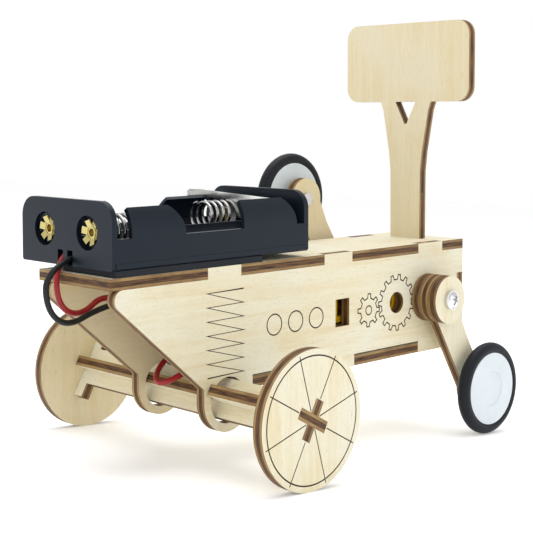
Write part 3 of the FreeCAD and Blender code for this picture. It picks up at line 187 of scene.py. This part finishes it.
def newMaterial(name):
    material = bpy.data.materials.new(name)
    material.use_nodes = True
    tree = material.node_tree
    return material, tree, tree.nodes["Principled BSDF"]


def fromScreen(red, green, blue):
    # A colour as a screen shows it, made linear.
    return tuple(
        (c / 255 / 12.92) if c / 255 <= 0.04045 else ((c / 255 + 0.055) / 1.055) ** 2.4
        for c in (red, green, blue)
    )


# Laser-cut plywood. A depth is a share of the sheet's thickness, out from its middle.
plySettings = {
    "veneer": fromScreen(225, 218, 193),
    "veneerWarm": fromScreen(219, 206, 171),
    "veneerCool": fromScreen(224, 220, 200),
    "heartwood": fromScreen(212, 192, 146),
    "pore": fromScreen(176, 158, 118),
    "speckle": fromScreen(198, 186, 152),
    "edgeDark": fromScreen(50, 30, 16),
    "edgeMid": fromScreen(102, 70, 40),
    "edgeLight": fromScreen(166, 136, 88),
    "bareWood": fromScreen(206, 178, 128),
    "engraved": fromScreen(44, 32, 18),
    "thickness": 2.5,
    "faceSlope": 0.7,
    "veneerDepth": 0.47,
    "coreBand": (0.24, 0.17),
    "glueDepth": 0.215,
    "glueHalf": 0.025,
    "glueShare": 0.7,
    "rimBand": (0.44, 0.49),
    "rimShare": 0.5,
    "burnLineBand": (0.35, 0.75),
    "fibreEdgeBand": (0.5, 0.75),
    "fibreEdgeShare": 0.55,
    "burntGain": 2.0,
    "burntOffset": 1.1,
    "seedShift": (7.3, 3.1, 5.7),
    "nickShift": (3.3, 8.1),
    "specular": 0.32,
    "roughness": 0.5,
    "roughnessSpread": 0.18,
    "reliefFibre": 0.6,
    "reliefScorch": 0.4,
    "reliefStrength": 0.25,
    "reliefDepth": 0.00012,
}

# Each pattern: its stretch along and across one axis, its noise (scale, detail, roughness,
# distortion), the band of noise that shows, and how strongly that shows.
plyPatterns = {
    "streak": {
        "along": 0.012,
        "across": 0.2,
        "noise": (2.4, 4.0, 0.6, 0.6),
        "band": (0.36, 0.68),
        "share": 1.0,
    },
    "fibre": {"along": 0.012, "across": 0.2, "noise": (16.0, 5.0, 0.7), "band": (0.5, 0.82), "share": 0.35},
    "tone": {"along": 0.05, "across": 0.05, "noise": (1.0, 2.0), "band": (0.42, 0.7), "share": 1.0},
    "pores": {"along": 0.16, "across": 1.9, "noise": (1.7, 2.0, 0.5), "band": (0.66, 0.74), "share": 0.5},
    "speckle": {"along": 1.0, "across": 1.0, "noise": (2.6, 2.0, 0.7), "band": (0.5, 0.75), "share": 0.4},
    "char": {"along": 5.0, "across": 0.22, "noise": (1.0, 4.0, 0.6), "band": (0.4, 0.62), "share": 1.0},
    "scorch": {"along": 0.09, "across": 0.09, "noise": (1.0, 3.0, 0.6)},
    "nick": {"along": 0.16, "across": 0.16, "noise": (1.0, 1.0, 0.5), "band": (0.735, 0.75), "share": 1.0},
}


def plyNoise(tree, place, name, axis, shift):
    pattern = plyPatterns[name]
    stretch = [pattern["across"]] * 3
    stretch["xyz".index(axis)] = pattern["along"]
    return noise(tree, stretched(tree, place, stretch, shift), *pattern["noise"])


def overlay(tree, strength, name, under, over):
    # Lays one colour over another where a pattern is strong.
    pattern = plyPatterns[name]
    amount = calc(tree, "MULTIPLY", stepUp(tree, strength, *pattern["band"]), pattern["share"])
    return blendColours(tree, amount, under, over)


def veneerColour(tree, place, grain, shift, fibre, warm):
    # Long soft streaks, fine fibre, sparse pores, a slow change of tone and a fine speckle.
    s = plySettings
    streak = plyNoise(tree, place, "streak", grain, shift)
    tone = plyNoise(tree, place, "tone", grain, shift)
    pores = plyNoise(tree, place, "pores", grain, shift)
    speckle = plyNoise(tree, place, "speckle", grain, (0, 0, 0))
    colour = overlay(tree, streak, "streak", s["veneer"], s["veneerWarm"])
    colour = overlay(tree, tone, "tone", colour, s["veneerCool"])
    colour = blendColours(tree, warm, colour, s["heartwood"])
    colour = overlay(tree, fibre, "fibre", colour, s["pore"])
    colour = overlay(tree, pores, "pores", colour, s["pore"])
    return overlay(tree, speckle, "speckle", colour, s["speckle"])


def edgeColour(tree, place, fromMiddle, char, scorch, charred, seed):
    # Three plies, glue lines, charring drawn out along the sheet and a few bare nicks.
    s = plySettings
    nickShift = (s["nickShift"][0], seed, s["nickShift"][1])
    nick = plyNoise(tree, place, "nick", "x", nickShift)
    burnt = calc(tree, "MULTIPLY_ADD", scorch, s["burntGain"], charred - s["burntOffset"], clamp=True)
    outerPly = blendColours(tree, burnt, s["edgeLight"], s["edgeMid"])
    core = stepUp(tree, fromMiddle, *s["coreBand"])
    streaked = overlay(tree, char, "char", s["edgeMid"], s["edgeDark"])
    edge = blendColours(tree, core, outerPly, streaked)
    fromGlue = calc(tree, "ABSOLUTE", calc(tree, "SUBTRACT", fromMiddle, s["glueDepth"]))
    glue = calc(tree, "MULTIPLY", calc(tree, "LESS_THAN", fromGlue, s["glueHalf"]), s["glueShare"])
    edge = blendColours(tree, glue, edge, s["edgeDark"])
    fibreEdge = calc(tree, "MULTIPLY", stepUp(tree, char, *s["fibreEdgeBand"]), s["fibreEdgeShare"])
    edge = blendColours(tree, fibreEdge, edge, s["edgeDark"])
    rim = calc(tree, "MULTIPLY", stepUp(tree, fromMiddle, *s["rimBand"]), s["rimShare"])
    edge = blendColours(tree, rim, edge, s["edgeDark"])
    return overlay(tree, nick, "nick", edge, s["bareWood"])


def plyMaterial(name, axis, low, grain, turn=pitch, pivot=driveCentre, seed=0.0, charred=0.5, warm=0.0):
    # One sheet: its thin axis, where it starts on that axis, and the way that its grain runs.
    s = plySettings
    material, tree, shader = newMaterial(name)
    place, facing = localVector(tree, turn, pivot)
    parts = addNode(tree, "ShaderNodeSeparateXYZ", {0: place}).outputs
    sides = addNode(tree, "ShaderNodeSeparateXYZ", {0: facing}).outputs
    index = "xyz".index(axis)
    depth = calc(tree, "DIVIDE", calc(tree, "SUBTRACT", parts[index], low), s["thickness"])
    fromMiddle = calc(tree, "ABSOLUTE", calc(tree, "SUBTRACT", depth, 0.5))
    onFace = calc(tree, "GREATER_THAN", calc(tree, "ABSOLUTE", sides[index]), s["faceSlope"])
    outer = calc(tree, "GREATER_THAN", fromMiddle, s["veneerDepth"])
    shift = tuple(seed * step for step in s["seedShift"])
    fibre = plyNoise(tree, place, "fibre", grain, shift)
    char = plyNoise(tree, place, "char", axis, shift)
    scorch = plyNoise(tree, place, "scorch", axis, shift)

    burnLine = blendColours(tree, stepUp(tree, char, *s["burnLineBand"]), s["engraved"], s["edgeDark"])
    face = blendColours(tree, outer, burnLine, veneerColour(tree, place, grain, shift, fibre, warm))
    edge = edgeColour(tree, place, fromMiddle, char, scorch, charred, seed)
    tree.links.new(blendColours(tree, onFace, edge, face), shader.inputs["Base Color"])
    shader.inputs["Specular IOR Level"].default_value = s["specular"]
    rough = calc(tree, "MULTIPLY_ADD", fibre, s["roughnessSpread"], s["roughness"])
    tree.links.new(rough, shader.inputs["Roughness"])
    fibreRelief = calc(tree, "MULTIPLY", fibre, s["reliefFibre"])
    scorchRelief = calc(tree, "MULTIPLY", scorch, s["reliefScorch"])
    relief = calc(tree, "ADD", fibreRelief, scorchRelief)
    normal = bump(tree, relief, s["reliefStrength"], s["reliefDepth"])
    tree.links.new(normal, shader.inputs["Normal"])
    return material


# Each sheet's thin axis, where it starts on it (mm), its grain, and what sets it apart.
halfBody = 12.5
armGap = 0.4
sheet = plySettings["thickness"]
rightSpacer = -halfBody - armGap - sheet
leftSpacer = halfBody + armGap
stripLow = -sheet / 2
broadTurn = math.radians(151) + pitch
keyTurn = broadTurn - math.radians(90)
discFinish = {"charred": 0.75}
plyPieces = {
    "right_side_panel": ("y", -halfBody, "x", {}),
    "left_side_panel": ("y", halfBody - sheet, "x", {"warm": 0.5}),
    "top_deck": ("z", 11.5, "x", {}),
    "bottom_plate": ("z", -14.1, "x", {}),
    "front_plate": ("x", 13.5, "y", {}),
    "mast_board": ("x", 7.0, "z", {"warm": 0.4}),
    "rear_wheel_right": ("y", -38.0, "z", {}),
    "rear_wheel_left": ("y", 37.9, "z", {"warm": 0.4}),
    "right_arm_spacer": ("y", rightSpacer, "z", discFinish),
    "right_arm": ("y", rightSpacer - sheet, "z", {}),
    "right_arm_cover": ("y", rightSpacer - 2 * sheet, "z", discFinish),
    "left_arm_spacer": ("y", leftSpacer, "z", discFinish),
    "left_arm": ("y", leftSpacer + sheet, "z", {"warm": 0.6}),
    "left_arm_cover": ("y", leftSpacer + 2 * sheet, "z", discFinish),
    "axle_strip_broad": ("z", stripLow, "y", {"turn": broadTurn, "pivot": axleCentre}),
    "axle_strip_key": ("z", stripLow, "y", {"turn": keyTurn, "pivot": axleCentre}),
}


def dress(node, material):
    # Puts one material on a carried-over node.
    mesh = nodes[node].data
    mesh.materials.clear()
    mesh.materials.append(material)


for number, (node, (axis, low, grain, extra)) in enumerate(plyPieces.items()):
    dress(node, plyMaterial(node + "Ply", axis, low, grain, seed=number + 1.0, **extra))
print("plywood dressed,", len(plyPieces), "pieces")

# Plastics, metals and rubber: a soft cloud of tone, a fine grain in the gloss, and some relief.
finishTexture = {
    "cloudScale": 0.12,
    "fineScale": 2.0,
    "detail": 3.0,
    "coarseness": 0.6,
    "glossSpread": 0.16,
    "reliefDepth": 0.0001,
}


def plainMaterial(
    name, colour, roughness, metallic=0.0, grainScale=None, relief=0.0, variation=0.12, **sockets
):
    t = finishTexture
    material, tree, shader = newMaterial(name)
    place = localVector(tree, pitch, driveCentre)[0]
    cloud = noise(tree, place, t["cloudScale"], t["detail"], t["coarseness"])
    fine = noise(tree, place, grainScale or t["fineScale"], t["detail"], t["coarseness"])
    darker = tuple(c * (1 - variation) for c in colour)
    lighter = tuple(min(1.0, c * (1 + variation)) for c in colour)
    tree.links.new(blendColours(tree, cloud, darker, lighter), shader.inputs["Base Color"])
    spread = calc(tree, "MULTIPLY_ADD", fine, t["glossSpread"], roughness - t["glossSpread"] / 2)
    tree.links.new(spread, shader.inputs["Roughness"])
    shader.inputs["Metallic"].default_value = metallic
    if relief:
        tree.links.new(bump(tree, fine, relief, t["reliefDepth"]), shader.inputs["Normal"])
    for socket, setting in sockets.items():
        shader.inputs[socket].default_value = setting
    return material


holderGloss = {"Specular IOR Level": 0.3, "Specular Tint": (0.75, 0.87, 1.0, 1)}
tyreGloss = {"Specular IOR Level": 0.25}
blackGloss = {"Specular IOR Level": 0.35}
glassy = {"Transmission Weight": 0.85}
finishes = {
    "holderPlastic": plainMaterial(
        "holderPlastic", fromScreen(8, 16, 27), 0.36, grainScale=6.0, relief=0.25, **holderGloss
    ),
    "foam": plainMaterial("foamTape", fromScreen(24, 29, 36), 0.9, grainScale=3.0, relief=0.9),
    "nickel": plainMaterial("nickelPlate", (0.72, 0.72, 0.70), 0.2, metallic=1.0, variation=0.05),
    # The coil wire's base colour is set well below bright plated steel: painted dark reflections, standing
    # in for the dark surroundings that a real coil mirrors.
    "springWire": plainMaterial("springWire", (0.42, 0.42, 0.42), 0.12, metallic=1.0, variation=0.05),
    "brass": plainMaterial("paleBrass", fromScreen(196, 182, 120), 0.28, metallic=1.0),
    "zinc": plainMaterial("zincSteel", (0.7, 0.7, 0.72), 0.24, metallic=1.0, variation=0.05),
    "can": plainMaterial("motorCase", (0.6, 0.6, 0.6), 0.34, metallic=1.0),
    "hubPlastic": plainMaterial("hubPlastic", fromScreen(206, 214, 219), 0.32, relief=0.1),
    "gearPlastic": plainMaterial("gearPlastic", fromScreen(236, 236, 232), 0.4),
    "tyre": plainMaterial(
        "tyreRubber", fromScreen(12, 17, 26), 0.5, grainScale=5.0, relief=0.3, **tyreGloss
    ),
    "yellow": plainMaterial("gearboxPlastic", fromScreen(222, 176, 24), 0.38, relief=0.15),
    "clear": plainMaterial("clearStrap", (0.9, 0.92, 0.93), 0.2, **glassy),
    "tag": plainMaterial("tinnedBrass", (0.75, 0.68, 0.5), 0.35, metallic=1.0),
    "red": plainMaterial("redInsulation", fromScreen(150, 16, 26), 0.36, variation=0.08),
    "black": plainMaterial("blackInsulation", fromScreen(11, 11, 13), 0.38, variation=0.08, **blackGloss),
}
nodeFinish = {
    "battery_holder": "holderPlastic",
    "holder_foam_tape": "foam",
    "contact_plates": "nickel",
    "contact_rivets": "brass",
    "right_bay_spring": "springWire",
    "left_bay_spring": "springWire",
    "arm_screws": "zinc",
    "gearbox_screws": "zinc",
    "gear_pins": "zinc",
    "motor_shaft": "zinc",
    "right_roller_pin": "zinc",
    "left_roller_pin": "zinc",
    "motor_can": "can",
    "motor_end_cap": "gearPlastic",
    "motor_terminals": "tag",
    "motor_strap": "clear",
    "right_roller_hub": "hubPlastic",
    "left_roller_hub": "hubPlastic",
    "right_roller_tyre": "tyre",
    "left_roller_tyre": "tyre",
    "gearbox_half_right": "yellow",
    "gearbox_half_left": "yellow",
    "output_shaft": "gearPlastic",
    "output_gear": "gearPlastic",
    "second_gear": "gearPlastic",
    "crown_gear": "gearPlastic",
    "motor_pinion": "gearPlastic",
    "red_wire": "red",
    "black_wire": "black",
}
for node, finish in nodeFinish.items():
    dress(node, finishes[finish])
print("plastics and metals dressed")

# Wires from the holder's rear wall to the motor's tags, as millimetres in the body frame.
wireSettings = {
    "diameter": 0.0013,
    "stepsAlong": 16,
    "stepsRound": 5,
    "blackRoute": [
        (-101.4, 1.95, 17.3),
        (-108.9, 1.95, 14.9),
        (-108.6, 1.8, 6.6),
        (-103.4, 2.0, 2.5),
        (-95.0, 2.4, 5.4),
        (-86.6, 1.5, 6.8),
        (-79.5, 0.5, 0.5),
        (-71.5, -0.8, -4.4),
        (-63.5, -1.3, -5.2),
        (-55.31, -0.92, -6.8),
    ],
    "redRoute": [
        (-101.4, 5.35, 17.3),
        (-104.5, 4.6, 14.6),
        (-104.2, 3.7, 6.4),
        (-98.0, 4.2, 4.0),
        (-91.0, 4.6, 8.6),
        (-77.8, 4.4, 2.0),
        (-68.2, 4.4, -6.1),
        (-78.2, 2.6, -9.4),
        (-84.9, -5.0, -12.4),
        (-72.4, -6.5, -7.9),
        (-62.4, 1.8, 1.8),
        (-55.31, 0.92, 6.8),
    ],
    "blackLength": 0.0724,
    "redLength": 0.1021,
}


def makeWire(name, colour, node):
    # A lead in one colour: its route, length and insulation all go by that colour.
    route = wireSettings[colour + "Route"]
    data = bpy.data.curves.new(name, "CURVE")
    data.dimensions = "3D"
    data.resolution_u = wireSettings["stepsAlong"]
    data.bevel_depth = wireSettings["diameter"] / 2
    data.bevel_resolution = wireSettings["stepsRound"]
    data.use_fill_caps = True
    spline = data.splines.new("NURBS")
    spline.points.add(len(route) - 1)
    for point, place in zip(spline.points, route):
        point.co = (*bodyPoint(*place), 1)
    spline.order_u = 3
    spline.use_endpoint_u = True
    wire = bpy.data.objects.new(name, data)
    scene.collection.objects.link(wire)
    data.materials.append(finishes[colour])
    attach(wire, "chassis")
    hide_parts(node)


makeWire("blackLead", "black", "black_wire")
makeWire("redLead", "red", "red_wire")
print("wires run")


# Coil springs, grown with geometry nodes.
def newGrowth(name, settings):
    tree = bpy.data.node_groups.new(name, "GeometryNodeTree")
    tree.interface.new_socket("Geometry", in_out="OUTPUT", socket_type="NodeSocketGeometry")
    source = tree.nodes.new("NodeGroupInput")
    for label, setting in settings.items():
        kind = "NodeSocketMaterial" if isinstance(setting, bpy.types.Material) else "NodeSocketFloat"
        tree.interface.new_socket(label, in_out="INPUT", socket_type=kind)
    return tree, source


def finishGrowth(tree, source, geometry):
    real = addNode(tree, "GeometryNodeRealizeInstances", {0: geometry}).outputs[0]
    painted = addNode(
        tree, "GeometryNodeSetMaterial", {"Geometry": real, "Material": source.outputs["Paint"]}
    )
    end = tree.nodes.new("NodeGroupOutput")
    tree.links.new(painted.outputs[0], end.inputs[0])


def growPiece(name, tree, settings, move, node):
    # Evaluates a growth once and keeps the outcome as a plain mesh on the chassis.
    blank = bpy.data.meshes.new(name + "Seed")
    seedObject = bpy.data.objects.new(name + "Seed", blank)
    scene.collection.objects.link(seedObject)
    modifier = seedObject.modifiers.new("growth", "NODES")
    modifier.node_group = tree
    for socket in tree.interface.items_tree:
        if socket.in_out == "INPUT":
            modifier[socket.identifier] = settings[socket.name]
    bpy.context.view_layer.update()
    evaluated = seedObject.evaluated_get(bpy.context.evaluated_depsgraph_get())
    mesh = bpy.data.meshes.new_from_object(evaluated)
    bpy.data.objects.remove(seedObject)
    mesh.name = name
    mesh.transform(move)
    piece = bpy.data.objects.new(name, mesh)
    scene.collection.objects.link(piece)
    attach(piece, "chassis")
    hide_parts(node)


springSettings = {
    "Turns": 4.0,
    "Length": 0.0076,
    "Radius": 0.0033,
    "Wire": 0.000425,
    "Paint": finishes["springWire"],
}
springSteps = {"perTurn": 40, "round": 12}
# Each coil stands on its contact plate: forward in the right bay, rearward in the left bay.
springPlaces = {
    "right": {"foot": (-0.09865, -0.00405, 0.0228), "aim": 90, "length": 0.0065},
    "left": {"foot": (-0.05035, 0.01105, 0.0228), "aim": -90, "length": 0.0076},
}


def springTree():
    tree, source = newGrowth("coilSpring", springSettings)
    coil = addNode(
        tree,
        "GeometryNodeCurveSpiral",
        {
            "Resolution": springSteps["perTurn"],
            "Rotations": source.outputs["Turns"],
            "Start Radius": source.outputs["Radius"],
            "End Radius": source.outputs["Radius"],
            "Height": source.outputs["Length"],
        },
    ).outputs[0]
    section = addNode(
        tree,
        "GeometryNodeCurvePrimitiveCircle",
        {"Resolution": springSteps["round"], "Radius": source.outputs["Wire"]},
    ).outputs[0]
    wire = addNode(
        tree,
        "GeometryNodeCurveToMesh",
        {"Curve": coil, "Profile Curve": section, "Fill Caps": True},
    ).outputs[0]
    smooth = addNode(tree, "GeometryNodeSetShadeSmooth", {"Geometry": wire})
    finishGrowth(tree, source, smooth.outputs[0])
    return tree


coilTree = springTree()
for side, spot in springPlaces.items():
    foot = stance @ Matrix.Translation(spot["foot"])
    growPiece(
        side + "BaySpring",
        coilTree,
        {**springSettings, "Length": spot["length"]},
        foot @ Matrix.Rotation(math.radians(spot["aim"]), 4, "Y"),
        side + "_bay_spring",
    )
print("coils grown")

# Floor and soft studio light.
studio = {
    "floorSize": 8.0,
    "floorColour": (0.95, 0.95, 0.95),
    "horizonStrength": 1.0,
    "zenithStrength": 0.8,
    "floorGlow": 0.2,
    "floorRoughness": 0.85,
    "skyBand": (0.15, 0.5),
    "lamps": [
        ("overhead", (0.05, 0.1, 0.8), (0.0, 0.0, 0.04), 0.9, 4.2),
        ("leftKey", (-0.95, -0.25, 0.55), (0.0, 0.0, 0.04), 0.7, 1.1),
        ("frontFill", (0.25, -1.0, 0.35), (0.02, 0.0, 0.05), 0.8, 0.9),
    ],
}


def makeStudio(settings):
    mesh = bpy.data.meshes.new("studioFloor")
    half = settings["floorSize"] / 2
    corners = [(-half, -half, 0), (half, -half, 0), (half, half, 0), (-half, half, 0)]
    mesh.from_pydata(corners, [], [(0, 1, 2, 3)])
    floor = bpy.data.objects.new("studioFloor", mesh)
    scene.collection.objects.link(floor)
    material, tree, shader = newMaterial("studioFloorPaint")
    shader.inputs["Base Color"].default_value = (*settings["floorColour"], 1)
    shader.inputs["Emission Color"].default_value = (1, 1, 1, 1)
    shader.inputs["Emission Strength"].default_value = settings["floorGlow"]
    shader.inputs["Roughness"].default_value = settings["floorRoughness"]
    mesh.materials.append(material)
    world = bpy.data.worlds.new("studioWorld")
    world.use_nodes = True
    tree = world.node_tree
    background = tree.nodes["Background"]
    background.inputs[0].default_value = (1, 1, 1, 1)
    sky = addNode(tree, "ShaderNodeTexCoord")
    height = addNode(tree, "ShaderNodeSeparateXYZ", {0: sky.outputs["Generated"]}).outputs[2]
    low, high = settings["skyBand"]
    strength = addNode(
        tree,
        "ShaderNodeMapRange",
        {0: height, 1: low, 2: high, 3: settings["horizonStrength"], 4: settings["zenithStrength"]},
    )
    tree.links.new(strength.outputs[0], background.inputs[1])
    scene.world = world
    for name, place, aim, size, power in settings["lamps"]:
        data = bpy.data.lights.new(name, "AREA")
        data.shape = "DISK"
        data.size = size
        data.energy = power
        lamp = bpy.data.objects.new(name, data)
        scene.collection.objects.link(lamp)
        lamp.location = place
        lamp.rotation_euler = (Vector(aim) - Vector(place)).to_track_quat("-Z", "Y").to_euler()


makeStudio(studio)
print("studio lit")
